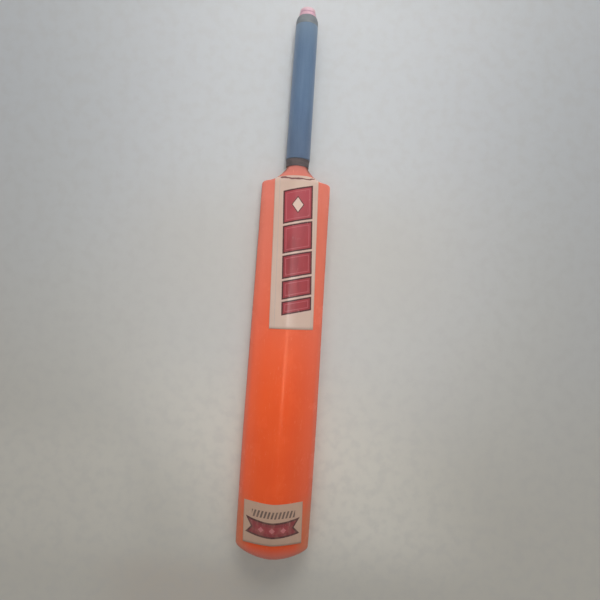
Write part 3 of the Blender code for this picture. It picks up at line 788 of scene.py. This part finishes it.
class Print(Finish):
    """Printed vinyl. Shapes are given as how far a point lies outside them, in metres."""

    def __init__(self, name, width, length):
        super().__init__(name, Specular_IOR_Level=0.40)
        self.u, self.v, _ = self.axes(self.node("ShaderNodeUVMap", {"uv_map": "flat_plan"}))
        self.from_edge = (width / 2 - abs(self.u)).least(length / 2 - abs(self.v - length / 2))
        self.ragged = (self.noise(self.place(), 500.0, 2.0) - 0.5) * INK_RAGGEDNESS
        self.colour = self.blend(self.noise(self.place(), 25.0, 3.0).ramp(0.3, 0.7), PAPER, DEEP_PAPER)

    def wash(self, share, colour):
        """Lay a colour over the whole print, by a share that varies."""
        self.colour = self.blend(share, self.colour, colour)

    def ink(self, outside, colour, share=1.0):
        """Print a colour where a shape's outside distance is under zero."""
        self.wash((outside + self.ragged).ramp(INK_EDGE, -INK_EDGE) * share, colour)

    def bar(self, across, middle, half_width, half_length, slant):
        """A bar over the sheet whose ends are slanted."""
        along = abs(self.v - middle - across * slant) - half_length
        return (abs(across) - half_width).most(along * math.cos(math.atan(slant)))

    def diamond(self, across, middle, half_width, half_length):
        lean = abs(across) / half_width + abs(self.v - middle) / half_length - 1.0
        return lean * (half_width * half_length / math.hypot(half_width, half_length))

    def sealed(self):
        """Satin film with faint wrinkles, a dirty edge and scuffed ink."""
        grime = self.from_edge.ramp(DIRTY_EDGE, 0.0) * 0.35
        self.wash(grime, PAPER_DIRT)
        scuff = self.scratches(turn=0.5, stretch=0.08, scale=230.0, width=0.010, sparse=0.55)
        self.wash(scuff * 0.25, PAPER_SCUFF)
        wrinkle = self.noise(self.place(scale=(1.0, 0.6, 1.0)), 60.0, 2.0)
        grain = self.noise(self.place(), 1300.0, 1.0)
        roughness = 0.30 + wrinkle * 0.10 + scuff * 0.10 + grime * 0.3
        height = wrinkle + grain * 0.05
        return self.finish(self.colour, roughness, height, bump_depth=0.0003)


CRIMSON = (0.312, 0.039, 0.046, 1.0)
DEEP_CRIMSON = (0.234, 0.030, 0.036, 1.0)
MAROON = (0.075, 0.016, 0.018, 1.0)
ROSE = (0.560, 0.170, 0.180, 1.0)
BRIGHT_CRIMSON = (0.410, 0.064, 0.080, 1.0)
RULE_MAROON = (0.120, 0.026, 0.028, 1.0)
EYE_PAPER = (0.600, 0.430, 0.350, 1.0)
SOFT_GREY = (0.430, 0.370, 0.330, 1.0)

BLADE_LABEL_WIDTH = 0.0640
BLADE_LABEL_LENGTH = 0.2252
BLADE_LABEL_OVER_SHOULDER = 0.0065
BLADE_LABEL_OFFSET = 0.0072
BLADE_LABEL_TURN = math.radians(1.65)
BAR_HALF_WIDTH = 0.0205
BAR_SLANT = 0.22
BAR_LENGTHS = (0.0470, 0.0390, 0.0320, 0.0250, 0.0180)
BAR_GAP = 0.0050
FIRST_BAR_TOP = 0.2060
ART_FOOT_OFFSET = 0.0072
ART_LEAN = -0.0225
OUTLINE_REACH = 0.0010
FILL_INSET = 0.0012
FILL_EDGE = 0.0004
KEYLINE_INSET = 0.0040
KEYLINE_HALF_WIDTH = 0.0004
EYE_HALF_WIDTH = 0.0080
EYE_HALF_LENGTH = 0.0110
EYE_INSET = 0.0002
LEFT_LINE_INSET = 0.0075
LEFT_LINE_HALF_WIDTH = 0.00055
RIGHT_LINE_INSET = 0.0036
RIGHT_LINE_HALF_WIDTH = 0.00045
RULE_OFFSET = 0.0012
RULE_FROM_TOP = 0.0050
RULE_HALF_WIDTH = 0.0012
RULE_HALF_LENGTH = 0.0250
RULE_BOW = 4.3
RULE_SLOPE = 0.0375
RULE_WANDER = 0.005

blade_label = label_sheet("blade_label_sheet", BLADE_LABEL_WIDTH, BLADE_LABEL_LENGTH,
                          BLADE_LENGTH + BLADE_LABEL_OVER_SHOULDER - BLADE_LABEL_LENGTH,
                          BLADE_LABEL_OFFSET, BLADE_LABEL_TURN, columns=48, rows=96)


def blade_label_print():
    """Slanted crimson bars that shrink towards the toe, with maroon outlines and rose keylines."""
    sheet = Print("blade_label_film", BLADE_LABEL_WIDTH, BLADE_LABEL_LENGTH)
    for line, half_width in ((LEFT_LINE_INSET - BLADE_LABEL_WIDTH / 2, LEFT_LINE_HALF_WIDTH),
                             (BLADE_LABEL_WIDTH / 2 - RIGHT_LINE_INSET, RIGHT_LINE_HALF_WIDTH)):
        sheet.ink(abs(sheet.u - line) - half_width, SOFT_GREY, share=0.55)
    along_rule = sheet.u - RULE_OFFSET
    wander = (sheet.noise(sheet.place(), 110.0, 1.0) - 0.5) * RULE_WANDER
    ripple = wander - along_rule * along_rule * RULE_BOW + along_rule * RULE_SLOPE
    rule = abs(sheet.v - (BLADE_LABEL_LENGTH - RULE_FROM_TOP) + ripple) - RULE_HALF_WIDTH
    sheet.ink(rule.most(abs(along_rule) - RULE_HALF_LENGTH), RULE_MAROON, share=0.95)
    across = sheet.u - ART_FOOT_OFFSET - sheet.v * ART_LEAN
    top = FIRST_BAR_TOP
    bars = None
    for length in BAR_LENGTHS:
        bar = sheet.bar(across, top - length / 2, BAR_HALF_WIDTH, length / 2, BAR_SLANT)
        bars = bar if bars is None else bars.least(bar)
        top -= length + BAR_GAP
    sheet.ink(bars - OUTLINE_REACH, MAROON)
    sheet.ink(bars + FILL_INSET, CRIMSON)
    filled = (bars + FILL_INSET).ramp(0.0, -FILL_EDGE)
    shade = sheet.noise(sheet.place(scale=(1.0, 0.3, 1.0)), 90.0, 2.0).ramp(0.42, 0.62)
    sheet.wash(shade * filled * 0.6, DEEP_CRIMSON)
    sheet.wash(filled * sheet.v.ramp(0.100, 0.200) * 0.6, BRIGHT_CRIMSON)
    sheet.ink(abs(bars + KEYLINE_INSET) - KEYLINE_HALF_WIDTH, ROSE, share=0.55)
    eye = sheet.diamond(across, FIRST_BAR_TOP - BAR_LENGTHS[0] / 2, EYE_HALF_WIDTH, EYE_HALF_LENGTH)
    sheet.ink(eye - OUTLINE_REACH, MAROON)
    sheet.ink(eye + EYE_INSET, EYE_PAPER)
    return sheet.sealed()


blade_label.data.materials.append(blade_label_print())
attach(blade_label, "root")
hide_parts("blade_label")

# Toe label: a smaller sheet of the same vinyl above the toe, also put on by hand and slightly askew. Its
# paper has browned, and its rubbed print is a notched ribbon with three diamonds under a row of dashes.
TOE_LABEL_WIDTH = 0.0850
TOE_LABEL_LENGTH = 0.0612
TOE_LABEL_FROM_TOE = 0.0276
TOE_LABEL_OFFSET = 0.0004
TOE_LABEL_TURN = math.radians(1.75)
DASH_PITCH = 0.0052
DASH_HALF_WIDTH = 0.0014
DASH_HALF_LENGTH = 0.0050
DASH_LEAN = 0.3
DASH_LEAN_PIVOT = 0.045
DASH_ROW_OFFSET = 0.001
DASH_ROW_MIDDLE = 0.0455
DASH_ROW_HALF_LENGTH = 0.0310
RIBBON_MIDDLE = 0.0245
RIBBON_BOW = 3.0
RIBBON_DROP = 0.0015
RIBBON_HALF_WIDTH = 0.0110
RIBBON_HALF_LENGTH = 0.0310
RIBBON_OUTLINE_REACH = 0.0008
RIBBON_FILL_INSET = 0.0020
NOTCH_SLOPE = 0.7
NOTCH_INSET = 0.0010
HEART_HALF_WIDTH = 0.0050
HEART_HALF_LENGTH = 0.0240
DIAMOND_PLACES = (-0.0160, 0.0, 0.0160)
DIAMOND_REACH = 0.0042

INK_BLACK = (0.060, 0.036, 0.034, 1.0)
BROWNED_PAPER = (0.460, 0.262, 0.152, 1.0)
RUBBED_PAPER = (0.430, 0.270, 0.190, 1.0)

toe_label = label_sheet("toe_label_sheet", TOE_LABEL_WIDTH, TOE_LABEL_LENGTH, TOE_LABEL_FROM_TOE,
                        TOE_LABEL_OFFSET, TOE_LABEL_TURN, columns=56, rows=36)


def toe_label_print():
    """A deep crimson ribbon with notched ends, a maroon outline and a brighter heart, under dashes."""
    sheet = Print("toe_label_film", TOE_LABEL_WIDTH, TOE_LABEL_LENGTH)
    sheet.wash(0.55, BROWNED_PAPER)
    leaning = sheet.u - (sheet.v - DASH_LEAN_PIVOT) * DASH_LEAN
    dash = abs(leaning.math("WRAP", leaning, DASH_PITCH / 2, -DASH_PITCH / 2)) - DASH_HALF_WIDTH
    row = abs(sheet.v - DASH_ROW_MIDDLE) - DASH_HALF_LENGTH
    row = row.most(abs(sheet.u - DASH_ROW_OFFSET) - DASH_ROW_HALF_LENGTH)
    sheet.ink(dash.most(row), INK_BLACK, share=0.85)
    wave = sheet.v - RIBBON_MIDDLE - sheet.u * sheet.u * RIBBON_BOW + RIBBON_DROP
    notch = abs(wave) * NOTCH_SLOPE - NOTCH_INSET
    ribbon = (abs(wave) - RIBBON_HALF_WIDTH).most(abs(sheet.u) - RIBBON_HALF_LENGTH - notch)
    sheet.ink(ribbon - RIBBON_OUTLINE_REACH, MAROON)
    sheet.ink(ribbon + RIBBON_FILL_INSET, DEEP_CRIMSON)
    heart = (abs(wave) - HEART_HALF_WIDTH).most(abs(sheet.u) - HEART_HALF_LENGTH)
    sheet.ink(heart, CRIMSON, share=0.8)
    for centre in DIAMOND_PLACES:
        diamond = sheet.diamond(sheet.u - centre, RIBBON_MIDDLE - RIBBON_DROP, DIAMOND_REACH, DIAMOND_REACH)
        sheet.ink(diamond, ROSE, share=0.8)
    rubbed = sheet.noise(sheet.place(scale=(1.0, 0.6, 1.0)), 170.0, 3.0).ramp(0.38, 0.68)
    sheet.wash(0.05 + rubbed * 0.16, RUBBED_PAPER)
    return sheet.sealed()


toe_label.data.materials.append(toe_label_print())
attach(toe_label, "root")
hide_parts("toe_label")

# Floor, light and camera: a pale honed stone floor, with painted pools of light round the lower blade and
# toe, a painted shadow below the toe and a painted darker patch across the bat's middle. It is lit by a wide
# window beyond the handle, by pale walls that dim upwards, and by a small panel overhead, which draws the
# line of light along the spine.
FLOOR_REACH = 6.0

COOL_STONE = (0.512, 0.524, 0.528, 1.0)
WARM_STONE = (0.535, 0.508, 0.444, 1.0)
SHADE_STONE = (0.490, 0.476, 0.440, 1.0)
LIT_STONE = (0.675, 0.642, 0.564, 1.0)
SHADOW_STONE = (0.500, 0.450, 0.385, 1.0)
MOTTLED_STONE = (0.460, 0.445, 0.420, 1.0)

WALL_COLOUR = (0.97, 0.98, 1.0, 1.0)
WALL_LIGHT = 0.785
WALL_DIMMING_UPWARDS = 0.6
WALL_GAIN_TO_HANDLE = 0.37
FILM_WIDTH = 36.0
LENS_LENGTH = 30.0
CAMERA_PLACE = Vector((0.0193, -0.03807, 0.7655))
CAMERA_TURN = Vector((0.0154, 0.00204, 0.06773))


def pale_stone():
    """Honed stone with a faint mottle, cooler to the handle, with painted pools of light, a painted darker
    patch and a painted shadow by the toe.
    """
    finish = Finish("pale_stone")
    cloud = finish.noise(finish.place(), 3.0, 4.0, 0.55)
    mottle = finish.noise(finish.place(), 60.0, 3.0)
    x, y, _ = finish.axes(finish.place())
    tone = finish.blend((y + (cloud - 0.5) * 0.3).ramp(0.35, -0.45), COOL_STONE, WARM_STONE)
    # Painted shade: a darker patch of floor across the bat's middle.
    shade_patch = abs(y - 0.03).ramp(0.17, 0.02) * abs(x).ramp(0.32, 0.14)
    tone = finish.blend(shade_patch * 0.8, tone, SHADE_STONE)
    # Painted pools of light: paler floor round the blade's lower half and toe, and further to the left.
    light_pool = abs(x + y * 0.5 + 0.11).ramp(0.30, 0.05) * y.ramp(-0.08, -0.30) * y.ramp(-0.47, -0.36)
    left_light_pool = x.ramp(-0.15, -0.26) * abs(y + 0.34).ramp(0.14, 0.04) * x.ramp(-0.70, -0.45) * 0.35
    tone = finish.blend(light_pool.most(left_light_pool), tone, LIT_STONE)
    # Painted shadow: a darker, warmer patch of floor below the toe.
    toe_shadow = abs(x + 0.12).ramp(0.19, 0.05) * abs(y + 0.50).ramp(0.095, 0.035)
    tone = finish.blend(toe_shadow * 0.8, tone, SHADOW_STONE)
    tone = finish.blend(mottle.ramp(0.4, 0.7) * 0.25, tone, MOTTLED_STONE)
    return finish.finish(tone, 0.55 + mottle * 0.1, mottle, bump_depth=0.0002)


slab = bmesh.new()
bmesh.ops.create_grid(slab, x_segments=1, y_segments=1, size=FLOOR_REACH)
floor = new_piece("stone_floor", slab)
floor.data.materials.append(pale_stone())


def soft_light(name, place, target, width, length, strength, spread):
    """A rectangular soft light that faces a point, with its length in line with the bat."""
    lamp = bpy.data.lights.new(name, "AREA")
    lamp.shape = "RECTANGLE"
    lamp.size = width
    lamp.size_y = length
    lamp.energy = strength
    lamp.spread = math.radians(spread)
    light = bpy.data.objects.new(name, lamp)
    bpy.context.scene.collection.objects.link(light)
    light.location = place
    aim = (Vector(target) - Vector(place)).normalized()
    light.rotation_euler = (math.asin(aim.y), math.atan2(-aim.x, -aim.z), 0.0)


soft_light("window", place=(0.12, 2.00, 1.2), target=(0.12, 0.0, 0.0),
           width=1.6, length=0.9, strength=14.9, spread=140.0)
soft_light("ceiling_panel", place=(0.28, 0.05, 1.9), target=(0.01, 0.21, 0.0),
           width=0.50, length=0.90, strength=0.57, spread=20.0)

world = bpy.data.worlds.new("room")
world.use_nodes = True
room = Nodes(world.node_tree)
background = room.tree.nodes["Background"]
background.inputs["Color"].default_value = WALL_COLOUR
_, towards_handle, upwards = room.axes(room.node("ShaderNodeTexCoord"))
wall_light = (WALL_LIGHT * (1.0 - upwards * WALL_DIMMING_UPWARDS)
              * (1.0 + towards_handle * WALL_GAIN_TO_HANDLE))
room.tree.links.new(wall_light.socket, background.inputs["Strength"])
bpy.context.scene.world = world
bpy.context.scene.view_settings.view_transform = "Standard"

lens = bpy.data.cameras.new("camera")
lens.sensor_width = FILM_WIDTH
lens.lens = LENS_LENGTH
camera = bpy.data.objects.new("camera", lens)
bpy.context.scene.collection.objects.link(camera)
camera.matrix_world = (Matrix.Translation(CAMERA_PLACE)
                       @ Matrix.Rotation(CAMERA_TURN.length, 4, CAMERA_TURN.normalized()))
bpy.context.scene.camera = camera
